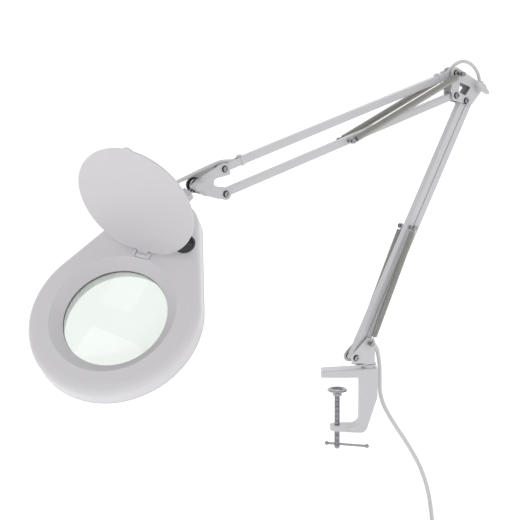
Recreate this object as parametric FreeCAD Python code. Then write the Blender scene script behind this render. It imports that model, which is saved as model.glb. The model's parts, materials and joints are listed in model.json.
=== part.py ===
import FreeCAD, Part
import math
import os

# Bench magnifying lamp on a spring-balanced double-bar arm, with a G-clamp.
# Row frame: millimetres, origin on the underside of the clamp's top jaw on the screw axis,
# +Z up, +X from the screw towards the clamp's spine.
# Arm frame: origin on the swivel post's axis at the height of the jaw underside,
# +X level towards the head, +Y towards the side of the arm that carries the knobs, +Z up.
# Head frame: origin in the middle of the lens opening, +X towards the tail, +Z out of the top face.

# Driving dimensions: clamp
JAW_FRONT = 23.0            # top jaw ahead of the screw axis
JAW_WIDTH = 25.0
JAW_TIP_THICKNESS = 9.3
JAW_ROOT_THICKNESS = 14.0
SPINE_INNER = 30.0
SPINE_OUTER = 56.0
SPINE_TAPER_START = -28.0
SPINE_FOOT = 39.6
THROAT_FLOOR = -71.0
LOWER_JAW_UNDERSIDE = -80.3
LOWER_JAW_TIP_UNDERSIDE = -78.0
LOWER_JAW_WIDTH = 21.0
POST_X = 44.0
POST_RADIUS = 4.0
BOSS_RADIUS = 10.6
BOSS_TOP = 17.5
BUSH_RADIUS = 6.0
BUSH_DEPTH = 28.0
RUNNING_FIT = 0.05          # radial clearance of a pin that turns
SCREW_RADIUS = 4.0
SCREW_BOTTOM = -106.0
PAD_RADIUS = 14.0
PAD_TOP = -19.0
TOMMY_RADIUS = 1.75
TOMMY_HEIGHT = -99.6
TOMMY_SHORT_END = 15.0
TOMMY_LONG_END = 43.0
TOMMY_TURN = -14.0

# Driving dimensions: arm
ARM_YAW = 34.0              # arm plane, turned from -X towards -Y
BAR_LENGTH = 400.0          # pivot to pivot, both arms
BAR_SIZE = 10.0
BAR_WALL = 1.0
BAR_OVERHANG = 0.4
LOWER_LEAN = 29.0           # lower arm, back from upright
UPPER_DROP = 17.0           # upper arm, below level
CHEEK_THICKNESS = 1.5
CHEEK_INNER = 7.6           # half of the gap between two cheeks
CHEEK_OUTER = CHEEK_INNER + CHEEK_THICKNESS
BOLT_RADIUS = 2.5
HEAD_RADIUS = 3.6
SPRING_RADIUS = 4.5
SPRING_OFFSET = 13.9        # spring axis from the arm's middle plane
STUD_END = 18.6
BASE_PIVOT = (29.5, 31.5)
LOWER_LINK = (-22.5, 18.0)  # front bar pivot to rear bar pivot
ELBOW_STEP = (18.5, 7.6)    # front bar's top pivot to the upper arm's lower pivot
UPPER_LINK = (1.4, 31.5)    # lower bar pivot to top bar pivot
ELBOW_STUD_STEP = (-6.8, -1.6)
LOWER_STUD_SHARE = 0.50
UPPER_STUD_SHARE = 0.49
TILT_STEP = (37.3, -3.2)    # middle of the head bracket's bolts to the tilt bolt

# Driving dimensions: head
STEM_ANGLE = 39.7           # stem above level, leaning back
HEAD_ROLL = 31.9            # head turned about its stem
HEAD_TURN = 18.0            # head turned on its neck pin
STEM_LENGTH = 41.7          # tilt bolt to neck pin
NECK_REACH = 163.9          # lens centre to neck pin
NECK_DROP = 6.0             # neck pin's middle below the lens opening
HEAD_ROUND = 104.0
TAIL_ROUND = 52.0
TAIL_CENTRE = 121.0
SHELL_TOP = 12.0
SHELL_SEAM = -14.5
SHELL_BOTTOM = -25.0
SHELL_WALL = 2.5
SHELL_SHOULDER = 11.0
SEAM_LIP = 0.3
SHELL_TAPER = 5.5           # how far the underside draws in
RECESS_RIM = 76.0
LENS_OPENING = 63.3         # radius of the clear opening, 5 in across
LENS_RADIUS = 65.3
LENS_EDGE = 3.3
LENS_LIP = 1.0              # rim of the shell above the lens
LENS_CURVE = 350.0
TUBE_RING = 82.0
TUBE_RADIUS = 8.0
TUBE_HEIGHT = -12.0
COVER_RADIUS = 75.0
COVER_THICKNESS = 3.0
COVER_GAP = 0.3
COVER_OPEN = 107.4          # resting opening angle
HINGE_X = 80.5
HINGE_Z = 9.5
HINGE_PIN = 1.5
COVER_CENTRE = 1.5
SWITCH_AT = (110.0, -45.0)
SWITCH_RADIUS = 12.5
ROCKER_RADIUS = 9.0
ROCKER_REST = -6.0

# Driving dimensions: leads
MAINS_RADIUS = 3.0
INNER_LEAD_RADIUS = 2.5
FLOOR_Z = -234.0            # surface that the loose end of the mains lead lies on
COIL_CENTRE = (92.0, -62.0)
COIL_OUTER_TURN = 45.0
COIL_INNER_TURN = 25.0

X_AXIS = FreeCAD.Vector(1, 0, 0)
Y_AXIS = FreeCAD.Vector(0, 1, 0)
Z_AXIS = FreeCAD.Vector(0, 0, 1)


def vec(x, y, z):
    return FreeCAD.Vector(x, y, z)


def shifted(point, step, share=1.0):
    return (point[0] + step[0] * share, point[1] + step[1] * share)


def arm_way(angle_from_level):
    """Unit step in the arm plane at an angle above level."""
    turn = math.radians(angle_from_level)
    return (math.cos(turn), math.sin(turn))


# Pivots in the arm plane, as (x, z)
LOWER_WAY = arm_way(90.0 + LOWER_LEAN)
UPPER_WAY = arm_way(-UPPER_DROP)
BASE_PIN = shifted(BASE_PIVOT, LOWER_LINK)
ELBOW_FRONT = shifted(BASE_PIVOT, LOWER_WAY, BAR_LENGTH)
ELBOW_REAR = shifted(ELBOW_FRONT, LOWER_LINK)
ELBOW_LOW = shifted(ELBOW_FRONT, ELBOW_STEP)
ELBOW_HIGH = shifted(ELBOW_LOW, UPPER_LINK)
ELBOW_STUD = shifted(ELBOW_HIGH, ELBOW_STUD_STEP)
LOWER_STUD = shifted(BASE_PIVOT, LOWER_WAY, BAR_LENGTH * LOWER_STUD_SHARE)
UPPER_STUD = shifted(ELBOW_LOW, UPPER_WAY, BAR_LENGTH * UPPER_STUD_SHARE)
HEAD_LOW = shifted(ELBOW_LOW, UPPER_WAY, BAR_LENGTH)
HEAD_HIGH = shifted(HEAD_LOW, UPPER_LINK)
TILT_BOLT = shifted(shifted(HEAD_LOW, UPPER_LINK, 0.5), TILT_STEP)

ARM = FreeCAD.Placement(vec(POST_X, 0, 0), FreeCAD.Rotation(Z_AXIS, 180.0 + ARM_YAW))


def head_placement():
    """Head frame inside the arm frame: stem direction, roll about it, then the turn on the neck pin."""
    rise = math.radians(STEM_ANGLE)
    stem = vec(-math.cos(rise), 0, math.sin(rise))
    level_normal = vec(math.sin(rise), 0, math.cos(rise))
    normal = FreeCAD.Rotation(stem, HEAD_ROLL).multVec(level_normal)
    if normal.y < 0:
        normal = FreeCAD.Rotation(stem, -HEAD_ROLL).multVec(level_normal)
    side = normal.cross(stem)
    turn = math.radians(HEAD_TURN)
    length_way = stem * math.cos(turn) + side * math.sin(turn)
    side_way = normal.cross(length_way)
    turned = FreeCAD.Rotation(length_way, side_way, normal, "XZY")
    neck = vec(TILT_BOLT[0], 0, TILT_BOLT[1]) - stem * STEM_LENGTH
    origin = neck - length_way * NECK_REACH + normal * NECK_DROP
    return FreeCAD.Placement(origin, turned), neck, stem, normal


HEAD_IN_ARM, NECK_PIN, STEM_WAY, HEAD_NORMAL = head_placement()
HEAD = ARM.multiply(HEAD_IN_ARM)


def placed(shape, placement):
    result = shape.copy()
    result.Placement = placement.multiply(result.Placement)
    return result


def write(name, shape, placement=None):
    """Write one sub-part, moved from its own frame into the row frame."""
    solid = shape if placement is None else placed(shape, placement)
    if not solid.isValid() or solid.Volume <= 0 or not solid.Solids:
        raise RuntimeError(name + " is not a closed solid")
    solid.exportStep("parts/" + name + ".step")
    print(f"{name}: {len(solid.Solids)} solid(s), {solid.Volume / 1000.0:.2f} cm3")


# Shape helpers


def rod(start, end, radius):
    way = end - start
    return Part.makeCylinder(radius, way.Length, start, way)


def cone(start, end, start_radius, end_radius):
    way = end - start
    return Part.makeCone(start_radius, end_radius, way.Length, start, way)


def cross_rod(point, y_low, y_high, radius):
    """Cylinder across the arm, through (x, z)."""
    return rod(vec(point[0], y_low, point[1]), vec(point[0], y_high, point[1]), radius)


def block(x_range, y_range, z_range):
    size = [pair[1] - pair[0] for pair in (x_range, y_range, z_range)]
    return Part.makeBox(*size, vec(x_range[0], y_range[0], z_range[0]))


def round_hull(circles):
    """Face around circles (x, y, r), given counter-clockwise, joined by their outer tangents."""
    count = len(circles)
    normals = []
    for index in range(count):
        x_a, y_a, r_a = circles[index]
        x_b, y_b, r_b = circles[(index + 1) % count]
        gap = math.hypot(x_b - x_a, y_b - y_a)
        along = ((x_b - x_a) / gap, (y_b - y_a) / gap)
        lean = (r_a - r_b) / gap
        rest = math.sqrt(1.0 - lean * lean)
        normals.append((along[0] * lean + along[1] * rest, along[1] * lean - along[0] * rest))
    edges = []
    for index in range(count):
        x_a, y_a, r_a = circles[index]
        x_b, y_b, r_b = circles[(index + 1) % count]
        n_in, n_out = normals[index - 1], normals[index]
        first = math.atan2(n_in[1], n_in[0])
        sweep = (math.atan2(n_out[1], n_out[0]) - first) % (2.0 * math.pi)
        arc = [vec(x_a + r_a * math.cos(first + sweep * t), y_a + r_a * math.sin(first + sweep * t), 0)
               for t in (0.0, 0.5, 1.0)]
        edges.append(Part.Arc(*arc).toShape())
        end = vec(x_b + r_b * n_out[0], y_b + r_b * n_out[1], 0)
        edges.append(Part.LineSegment(arc[2], end).toShape())
    return Part.Face(Part.Wire(edges))


def flat_solid(face, z_low, z_high):
    solid = face.extrude(vec(0, 0, z_high - z_low))
    solid.translate(vec(0, 0, z_low))
    return solid


def plate(face, y_low, y_high):
    """Solid in the arm plane from a face drawn as (x, z), between two depths across the arm."""
    solid = face.extrude(vec(0, 0, y_high - y_low))
    solid.rotate(vec(0, 0, 0), X_AXIS, 90)
    solid.translate(vec(0, y_high, 0))
    return solid


def cheek_pair(face):
    return [plate(face, CHEEK_INNER, CHEEK_OUTER), plate(face, -CHEEK_OUTER, -CHEEK_INNER)]


def turned_ring(points):
    """Solid of revolution about Z from (radius, z) points."""
    corners = [vec(r, 0, z) for r, z in points]
    face = Part.Face(Part.makePolygon(corners + corners[:1]))
    return face.revolve(vec(0, 0, 0), Z_AXIS, 360)


def fused(shapes):
    solid = shapes[0].multiFuse(shapes[1:]) if len(shapes) > 1 else shapes[0]
    return solid.removeSplitter()


def group(shapes):
    return Part.makeCompound(shapes)


def hexagon(centre, radius, height, way):
    """Hexagonal nut blank with its axis along way."""
    corners = [vec(radius * math.cos(math.radians(60 * k)), radius * math.sin(math.radians(60 * k)), 0)
               for k in range(7)]
    solid = Part.Face(Part.makePolygon(corners)).extrude(vec(0, 0, height))
    solid.Placement = FreeCAD.Placement(centre, FreeCAD.Rotation(Z_AXIS, way))
    return solid


def pan_head(point, y_face, side, radius=HEAD_RADIUS, height=2.6):
    """Screw head on the outer side of a cheek, with a cross recess."""
    head = cross_rod(point, y_face, y_face + side * height, radius) if side > 0 else \
        cross_rod(point, y_face + side * height, y_face, radius)
    rim = [edge for edge in head.Edges if abs(edge.CenterOfMass.y - (y_face + side * height)) < 1e-6
           and edge.Closed]
    head = head.makeFillet(1.0, rim)
    depth = 1.2
    slot_width = 1.1
    reach = radius * 0.62
    top = y_face + side * height
    y_range = sorted((top - side * depth, top + side))
    for across, along in ((slot_width / 2, reach), (reach, slot_width / 2)):
        head = head.cut(block((point[0] - across, point[0] + across), y_range,
                              (point[1] - along, point[1] + along)))
    return head


def pivot_bolt(point, near=CHEEK_OUTER + 0.8, far=-CHEEK_OUTER):
    """Pan-head bolt through both cheeks, with a hexagonal nut on the far side."""
    nut_height = 3.2
    shank = cross_rod(point, far - nut_height - 0.6, near, BOLT_RADIUS)
    nut = hexagon(vec(point[0], far - nut_height, point[1]), 4.4, nut_height, Y_AXIS)
    return fused([pan_head(point, near, 1), shank, nut])


def washers(point):
    """Spacing washers inside the cheeks and one under the bolt's head."""
    bar_face = BAR_SIZE / 2 + 0.1
    rings = []
    for low, high, radius in ((bar_face, CHEEK_INNER, 4.4), (-CHEEK_INNER, -bar_face, 4.4),
                              (CHEEK_OUTER, CHEEK_OUTER + 0.8, 4.4)):
        ring = cross_rod(point, low, high, radius)
        rings.append(ring.cut(cross_rod(point, low - 1, high + 1, BOLT_RADIUS)))
    return rings


def square_bar(start, end, holes, hole_radius, slots=()):
    """Square tube between two pivots, its side walls rounded at the ends."""
    half = BAR_SIZE / 2
    span = math.hypot(end[0] - start[0], end[1] - start[1])
    face = round_hull([(-BAR_OVERHANG, 0, half), (span + BAR_OVERHANG, 0, half)])
    body = plate(face, -half, half)
    long_edges = [edge for edge in body.Edges if edge.Length > span]
    body = body.makeFillet(1.0, long_edges)
    inner = half - BAR_WALL
    reach = BAR_SIZE
    body = body.cut(block((-reach, span + reach), (-inner, inner), (-inner, inner)))
    for along, radius in [(share, hole_radius) for share in holes]:
        body = body.cut(cross_rod((along, 0), -half - 1, half + 1, radius))
    for low, high in slots:
        body = body.cut(block((low, high), (-2.9, 2.9), (0, half + 1)))
    tilt = math.degrees(math.atan2(end[1] - start[1], end[0] - start[0]))
    body.rotate(vec(0, 0, 0), Y_AXIS, -tilt)
    body.translate(vec(start[0], 0, start[1]))
    return body


def cord_tube(points, radius, name):
    """Round cord: straight runs joined by arcs tangent to both runs, as large as the runs allow."""
    edges = []
    cursor = points[0]
    radii = []
    for before, corner, after in zip(points, points[1:], points[2:]):
        way_in = (corner - before).normalize()
        way_out = (after - corner).normalize()
        turn = way_in.getAngle(way_out)
        run = min((corner - before).Length, (after - corner).Length)
        bend = 0.45 * run / math.tan(turn / 2)
        setback = bend * math.tan(turn / 2)
        first = corner - way_in * setback
        last = corner + way_out * setback
        inward = (way_out - way_in).normalize()
        centre = corner + inward * (bend / math.cos(turn / 2))
        middle = centre - inward * bend
        edges.append(Part.LineSegment(cursor, first).toShape())
        edges.append(Part.Arc(first, middle, last).toShape())
        cursor = last
        radii.append(bend)
    edges.append(Part.LineSegment(cursor, points[-1]).toShape())
    path = Part.Wire(edges)
    start_way = (points[1] - points[0]).normalize()
    ring = Part.Wire(Part.Circle(points[0], start_way, radius).toShape())
    solid = path.makePipeShell([ring], True, False)
    volume_share = solid.Volume / (math.pi * radius ** 2 * path.Length)
    print(f"{name}: {path.Length:.0f} mm, smallest bend {min(radii):.1f} mm, bends "
          + " ".join(f"{value:.0f}" for value in radii) + f", volume share {volume_share:.3f}")
    return solid


# Clamp


def clamp_frame():
    half = JAW_WIDTH / 2
    outline = [(-JAW_FRONT, 0), (SPINE_INNER, 0), (SPINE_INNER, THROAT_FLOOR), (-LOWER_JAW_WIDTH / 2, THROAT_FLOOR),
               (-LOWER_JAW_WIDTH / 2, LOWER_JAW_TIP_UNDERSIDE), (SPINE_FOOT, LOWER_JAW_UNDERSIDE),
               (SPINE_OUTER, SPINE_TAPER_START), (SPINE_OUTER, JAW_ROOT_THICKNESS),
               (-JAW_FRONT, JAW_TIP_THICKNESS)]
    corners = [vec(x, z, 0) for x, z in outline]
    body = plate(Part.Face(Part.makePolygon(corners + corners[:1])), -half, half)
    for corner, radius in (((SPINE_INNER, THROAT_FLOOR), 11.0), ((SPINE_INNER, 0), 2.0),
                           ((SPINE_FOOT, LOWER_JAW_UNDERSIDE), 10.0), ((SPINE_OUTER, SPINE_TAPER_START), 12.0),
                           ((SPINE_OUTER, JAW_ROOT_THICKNESS), 3.0), ((-JAW_FRONT, JAW_TIP_THICKNESS), 2.5)):
        edges = [edge for edge in body.Edges if edge.Length > JAW_WIDTH - 1
                 and math.hypot(edge.CenterOfMass.x - corner[0], edge.CenterOfMass.z - corner[1]) < 0.5]
        body = body.makeFillet(radius, edges)
    rims = [edge for edge in body.Edges if abs(abs(edge.CenterOfMass.y) - half) < 1e-6]
    body = body.makeFillet(1.2, rims)
    lower_half = LOWER_JAW_WIDTH / 2
    jaw_plan = round_hull([(0, 0, lower_half), (SPINE_FOOT, 0, lower_half)])
    keep = flat_solid(jaw_plan, LOWER_JAW_UNDERSIDE - 1, THROAT_FLOOR + 1)
    drop = block((-JAW_FRONT, SPINE_INNER - 14), (-half - 1, half + 1), (LOWER_JAW_UNDERSIDE - 1, THROAT_FLOOR + 1))
    body = body.cut(drop.cut(keep))
    boss = rod(vec(POST_X, 0, JAW_ROOT_THICKNESS - 4), vec(POST_X, 0, BOSS_TOP), BOSS_RADIUS)
    body = fused([body, boss])
    bore = rod(vec(POST_X, 0, BOSS_TOP - BUSH_DEPTH), vec(POST_X, 0, BOSS_TOP + 1), BUSH_RADIUS)
    screw_hole = rod(vec(0, 0, LOWER_JAW_UNDERSIDE - 1), vec(0, 0, THROAT_FLOOR + 1), SCREW_RADIUS + RUNNING_FIT)
    return body.cut(bore).cut(screw_hole)


def swivel_bush():
    flange = rod(vec(POST_X, 0, BOSS_TOP), vec(POST_X, 0, BOSS_TOP + 1.4), 8.4)
    sleeve = rod(vec(POST_X, 0, BOSS_TOP - BUSH_DEPTH + 1), vec(POST_X, 0, BOSS_TOP), BUSH_RADIUS)
    hole = rod(vec(POST_X, 0, BOSS_TOP - BUSH_DEPTH), vec(POST_X, 0, BOSS_TOP + 2), POST_RADIUS + RUNNING_FIT)
    return fused([flange, sleeve]).cut(hole)


def clamp_pad():
    """Dished pressure pad with a socket for the screw's tip."""
    socket = SCREW_RADIUS - 0.8
    return turned_ring([(0, PAD_TOP - 3.4), (8.5, PAD_TOP - 2.6), (11.2, PAD_TOP), (PAD_RADIUS - 0.8, PAD_TOP),
                        (PAD_RADIUS, PAD_TOP - 1.0), (PAD_RADIUS, PAD_TOP - 2.2), (9.0, PAD_TOP - 5.0),
                        (6.4, PAD_TOP - 5.4), (6.4, PAD_TOP - 9.0), (socket + 0.2, PAD_TOP - 9.0),
                        (socket + 0.2, PAD_TOP - 5.4), (0, PAD_TOP - 5.4)])


def clamp_screw():
    """Threaded rod with a turned-down tip inside the pad and a cross hole near its foot."""
    tip = rod(vec(0, 0, PAD_TOP - 9.3), vec(0, 0, PAD_TOP - 5.7), SCREW_RADIUS - 0.8)
    body = rod(vec(0, 0, SCREW_BOTTOM), vec(0, 0, PAD_TOP - 9.3), SCREW_RADIUS)
    foot = [edge for edge in body.Edges if edge.Closed and abs(edge.CenterOfMass.z - SCREW_BOTTOM) < 1e-6]
    body = fused([body.makeFillet(1.0, foot), tip])
    hole = rod(vec(-SCREW_RADIUS * 2, 0, TOMMY_HEIGHT), vec(SCREW_RADIUS * 2, 0, TOMMY_HEIGHT),
               TOMMY_RADIUS + RUNNING_FIT)
    hole.rotate(vec(0, 0, 0), Z_AXIS, TOMMY_TURN)
    return body.cut(hole)


def tommy_bar():
    ball = 3.0
    bar = rod(vec(-TOMMY_SHORT_END, 0, TOMMY_HEIGHT), vec(TOMMY_LONG_END, 0, TOMMY_HEIGHT), TOMMY_RADIUS)
    ends = [Part.makeSphere(ball, vec(x, 0, TOMMY_HEIGHT)) for x in (-TOMMY_SHORT_END, TOMMY_LONG_END)]
    body = fused([bar] + ends)
    body.rotate(vec(0, 0, 0), Z_AXIS, TOMMY_TURN)
    return body


# Base bracket and mains lead

BRACKET_FLOOR = BOSS_TOP + 1.6
BRACKET_BACK = -3.6


def base_bracket():
    """U-shaped pressing: two cheeks, a floor that the post passes through, and a back wall."""
    cheek = round_hull([(BRACKET_BACK + 3.0, BRACKET_FLOOR + 3.0, 3.0), (BASE_PIVOT[0], BASE_PIVOT[1], 7.8),
                        (BASE_PIN[0], BASE_PIN[1], 8.0), (BRACKET_BACK + 3.0, 51.5, 3.0)])
    floor = block((BRACKET_BACK - 2.2, 24.0), (-CHEEK_OUTER, CHEEK_OUTER),
                  (BRACKET_FLOOR, BRACKET_FLOOR + CHEEK_THICKNESS))
    back = block((BRACKET_BACK, BRACKET_BACK + CHEEK_THICKNESS), (-CHEEK_OUTER, CHEEK_OUTER),
                 (BRACKET_FLOOR + 7.4, 52.0))
    body = fused(cheek_pair(cheek) + [floor, back])
    for pivot in (BASE_PIVOT, BASE_PIN):
        body = body.cut(cross_rod(pivot, -STUD_END, STUD_END, BOLT_RADIUS))
    return body.cut(rod(vec(0, 0, BRACKET_FLOOR - 1), vec(0, 0, BRACKET_FLOOR + 3), POST_RADIUS))


def swivel_post():
    post = rod(vec(0, 0, BOSS_TOP - BUSH_DEPTH + 2), vec(0, 0, BRACKET_FLOOR + 6), POST_RADIUS)
    head = rod(vec(0, 0, BRACKET_FLOOR + CHEEK_THICKNESS), vec(0, 0, BRACKET_FLOOR + 5.0), 5.6)
    return fused([post, head])


def spring_stud(point, y_start, y_end):
    """Pin that a spring eye hooks over, with a groove and a domed end."""
    side = 1 if y_end > y_start else -1
    low, high = sorted((y_start, y_end))
    pin = cross_rod(point, low, high, BOLT_RADIUS)
    cap_low, cap_high = sorted((y_end - side * 1.6, y_end))
    cap = cross_rod(point, cap_low, cap_high, 3.4)
    rim = [edge for edge in cap.Edges if edge.Closed and abs(edge.CenterOfMass.y - y_end) < 1e-6]
    return fused([pin, cap.makeFillet(0.8, rim)])


def through_stud(point):
    return fused([spring_stud(point, 0, STUD_END), spring_stud(point, 0, -STUD_END)])


GROMMET_START = vec(-2.2, 0, 50.0)
GROMMET_END = vec(-15.0, 0, 35.0)


def base_grommet():
    """Tapered strain relief on the back wall, where the mains lead leaves the bracket."""
    way = (GROMMET_END - GROMMET_START).normalize()
    sleeve = cone(GROMMET_START + way * 2.2, GROMMET_END, 5.2, MAINS_RADIUS + 0.7)
    collar = rod(vec(BRACKET_BACK - 2.2, 0, 46.6), vec(BRACKET_BACK, 0, 46.6), 5.6)
    keep = block((-40, BRACKET_BACK), (-20, 20), (0, 80))
    return fused([sleeve, collar]).common(keep)


# Route of the mains lead from the strain relief to the coil, in the row frame
MAINS_ROUTE = [ARM.multVec(GROMMET_END), vec(59.2, 14.0, 23.5), vec(61.0, 18.6, 8.0), vec(61.4, 20.2, -9.0),
               vec(61.6, 20.4, -26.0), vec(64.4, 20.0, -41.0), vec(71.2, 19.2, -57.0), vec(85.2, 17.4, -80.0),
               vec(104.6, 14.8, -109.0), vec(121.0, 11.6, -139.0), vec(131.4, 7.6, -171.0),
               vec(135.6, 1.4, -201.0), vec(136.8, -11.0, -223.0), vec(137.4, -32.0, -230.6),
               vec(137.0, -57.0, FLOOR_Z + MAINS_RADIUS)]
PLUG_ROUTE = [vec(84.0, -104.8, FLOOR_Z + 8.2), vec(72.0, -106.2, FLOOR_Z + 7.8), vec(60.0, -108.6, FLOOR_Z + 7.4),
              vec(48.0, -112.4, FLOOR_Z + 7.0)]


def mains_lead():
    main = cord_tube(MAINS_ROUTE, MAINS_RADIUS, "mains lead")
    tail = cord_tube(PLUG_ROUTE, MAINS_RADIUS, "plug tail")
    return group([main, tail])


def lead_coil():
    """Outer shape of the wound-up length, two layers of turns."""
    outer = COIL_OUTER_TURN + MAINS_RADIUS
    inner = COIL_INNER_TURN - MAINS_RADIUS
    centre = vec(COIL_CENTRE[0], COIL_CENTRE[1], FLOOR_Z)
    height = 2 * MAINS_RADIUS + 5.4
    body = Part.makeCylinder(outer, height, centre).cut(Part.makeCylinder(inner, height, centre))
    top = [edge for edge in body.Edges if edge.Closed and abs(edge.CenterOfMass.z - FLOOR_Z - height) < 1e-6]
    return body.makeFillet(2.5, top)


PLUG_WAY = (PLUG_ROUTE[-1] - PLUG_ROUTE[-2]).normalize()


def plug_body():
    """Flat moulded two-pin plug with a ribbed grip and a tapered neck."""
    plan = round_hull([(-18, -9, 3.0), (6, -14.5, 3.0), (17, -14.5, 3.0), (17, 14.5, 3.0), (6, 14.5, 3.0),
                       (-18, 9, 3.0)])
    body = flat_solid(plan, -7.0, 7.0)
    rims = [edge for edge in body.Edges if abs(abs(edge.CenterOfMass.z) - 7.0) < 1e-6]
    body = body.makeFillet(2.5, rims)
    neck = cone(vec(-44, 0, 0), vec(-20, 0, 0), MAINS_RADIUS + 0.6, 5.6)
    return fused([body, neck])


def plug_pins():
    return group([rod(vec(20, y, 0), vec(39, y, 0), 2.0) for y in (-9.5, 9.5)])


def plug_placement():
    spin = math.degrees(math.atan2(PLUG_WAY.y, PLUG_WAY.x))
    end = PLUG_ROUTE[-1]
    reach = 44.0
    middle = vec(end.x, end.y, FLOOR_Z + 7.0) + vec(PLUG_WAY.x, PLUG_WAY.y, 0) * reach
    return FreeCAD.Placement(middle, FreeCAD.Rotation(Z_AXIS, spin))


# Arm pieces


def spring_body(stud, anchor, side):
    """Outer shape of a tension spring between two studs, beside the arm."""
    start = vec(stud[0], side * SPRING_OFFSET, stud[1])
    end = vec(anchor[0], side * SPRING_OFFSET, anchor[1])
    way = (end - start).normalize()
    near_stud, near_anchor = 6.0, 11.0
    outer = rod(start + way * near_stud, end - way * near_anchor, SPRING_RADIUS)
    return outer.cut(rod(start, end, SPRING_RADIUS - 1.3))


def elbow_bracket():
    """U-shaped pressing that carries both arms, with a window in each cheek and a web along its top."""
    heel = shifted(ELBOW_FRONT, (-9.8, -1.6))
    face = round_hull([(ELBOW_LOW[0], ELBOW_LOW[1], 7.6), (ELBOW_HIGH[0], ELBOW_HIGH[1], 8.2),
                       (ELBOW_REAR[0], ELBOW_REAR[1], 8.4), (heel[0], heel[1], 4.2)])
    body = cheek_pair(face)
    rise = math.atan2(ELBOW_HIGH[1] - ELBOW_REAR[1], ELBOW_HIGH[0] - ELBOW_REAR[0])
    span = math.hypot(ELBOW_HIGH[1] - ELBOW_REAR[1], ELBOW_HIGH[0] - ELBOW_REAR[0])
    web = block((-3.0, span - 9.0), (-CHEEK_OUTER, CHEEK_OUTER), (8.3 - CHEEK_THICKNESS, 8.3))
    web.rotate(vec(0, 0, 0), Y_AXIS, -math.degrees(rise))
    web.translate(vec(ELBOW_REAR[0], 0, ELBOW_REAR[1]))
    body = fused(body + [web])
    window = [shifted(ELBOW_FRONT, step) for step in ((10.4, 24.4), (-6.8, 18.0), (1.6, 8.8), (12.4, 13.8))]
    opening = plate(round_hull([(x, z, 1.5) for x, z in window]), -STUD_END, STUD_END)
    body = body.cut(opening)
    for pivot in (ELBOW_FRONT, ELBOW_LOW, ELBOW_HIGH, ELBOW_REAR, ELBOW_STUD):
        body = body.cut(cross_rod(pivot, -STUD_END, STUD_END, BOLT_RADIUS))
    return body


def elbow_bolts():
    rear = fused([cross_rod(ELBOW_REAR, -CHEEK_OUTER - 3.8, CHEEK_OUTER + 9.0, BOLT_RADIUS),
                  hexagon(vec(ELBOW_REAR[0], -CHEEK_OUTER - 3.2, ELBOW_REAR[1]), 4.4, 3.2, Y_AXIS)])
    return group([pivot_bolt(ELBOW_FRONT), pivot_bolt(ELBOW_LOW), pivot_bolt(ELBOW_HIGH), rear])


def elbow_studs():
    return group([spring_stud(ELBOW_STUD, CHEEK_INNER, STUD_END),
                  spring_stud(ELBOW_STUD, -CHEEK_INNER, -STUD_END)])


ELBOW_GROMMET_TOP = vec(ELBOW_REAR[0] - 11.2, 0, ELBOW_REAR[1] + 9.4)
ELBOW_GROMMET_FOOT = vec(ELBOW_REAR[0] - 10.4, 0, ELBOW_REAR[1] + 1.7)


def elbow_grommet():
    """Cord anchor between the cheeks, behind the rear bar's pivot."""
    sleeve = rod(ELBOW_GROMMET_FOOT, ELBOW_GROMMET_TOP, 4.2)
    middle = (ELBOW_GROMMET_FOOT + ELBOW_GROMMET_TOP) * 0.5
    bar = block((middle.x - 1.6, middle.x + 3.4), (-CHEEK_INNER, CHEEK_INNER), (middle.z - 1.0, middle.z + 3.6))
    clear = cross_rod(ELBOW_REAR, -CHEEK_INNER - 1, CHEEK_INNER + 1, BAR_SIZE / 2 + BAR_OVERHANG + 0.3)
    return fused([sleeve, bar]).cut(clear)


def wing_face(reach, tip, waist):
    return round_hull([(-reach, 0, tip), (0, -waist, 1.0), (reach, 0, tip), (0, waist, 1.0)])


def elbow_knob():
    """Wing knob with a long hub, on the rear pivot bolt."""
    hub = cross_rod((0, 0), CHEEK_OUTER + 0.3, CHEEK_OUTER + 12.0, 5.6)
    wing = plate(wing_face(11.0, 2.4, 3.4), CHEEK_OUTER + 6.5, CHEEK_OUTER + 12.5)
    rims = [edge for edge in wing.Edges if abs(edge.CenterOfMass.y - CHEEK_OUTER - 12.5) < 1e-6]
    body = fused([hub, wing.makeFillet(0.9, rims)])
    body.rotate(vec(0, 0, 0), Y_AXIS, -38.0)
    body.translate(vec(ELBOW_REAR[0], 0, ELBOW_REAR[1]))
    return body.cut(cross_rod(ELBOW_REAR, 0, CHEEK_OUTER + 9.2, BOLT_RADIUS + RUNNING_FIT))


def arm_route(points):
    return [vec(x, y, z) for x, y, z in points]


ELBOW_ROUTE = arm_route([(-133.5, 0, 418.0), (-142.0, 0, 426.6), (-153.0, 0, 434.2), (-167.0, 0, 437.6),
                         (-180.4, 0, 434.0), (-190.8, 0, 425.6), (-196.8, 0, 416.4)]) + [ELBOW_GROMMET_TOP]


def elbow_lead():
    return cord_tube(ELBOW_ROUTE, INNER_LEAD_RADIUS, "elbow lead")


def cable_clips():
    """Ties that close the top bar's wiring slots."""
    along = math.degrees(math.atan2(UPPER_WAY[1], UPPER_WAY[0]))
    half = BAR_SIZE / 2
    pieces = []
    for reach in (14.5, 26.0, BAR_LENGTH - 31.0):
        tie = block((reach, reach + 2.4), (-half - 1, half + 1), (-half - 1, half + 1))
        tie = tie.cut(block((reach - 1, reach + 4), (-half, half), (-half, half)))
        lock = block((reach - 0.8, reach + 3.4), (-2.2, 2.2), (half, half + 3.0))
        pieces.append(fused([tie, lock]))
    for piece in pieces:
        piece.rotate(vec(0, 0, 0), Y_AXIS, -along)
        piece.translate(vec(ELBOW_HIGH[0], 0, ELBOW_HIGH[1]))
    return group(pieces)


# Head bracket


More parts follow.
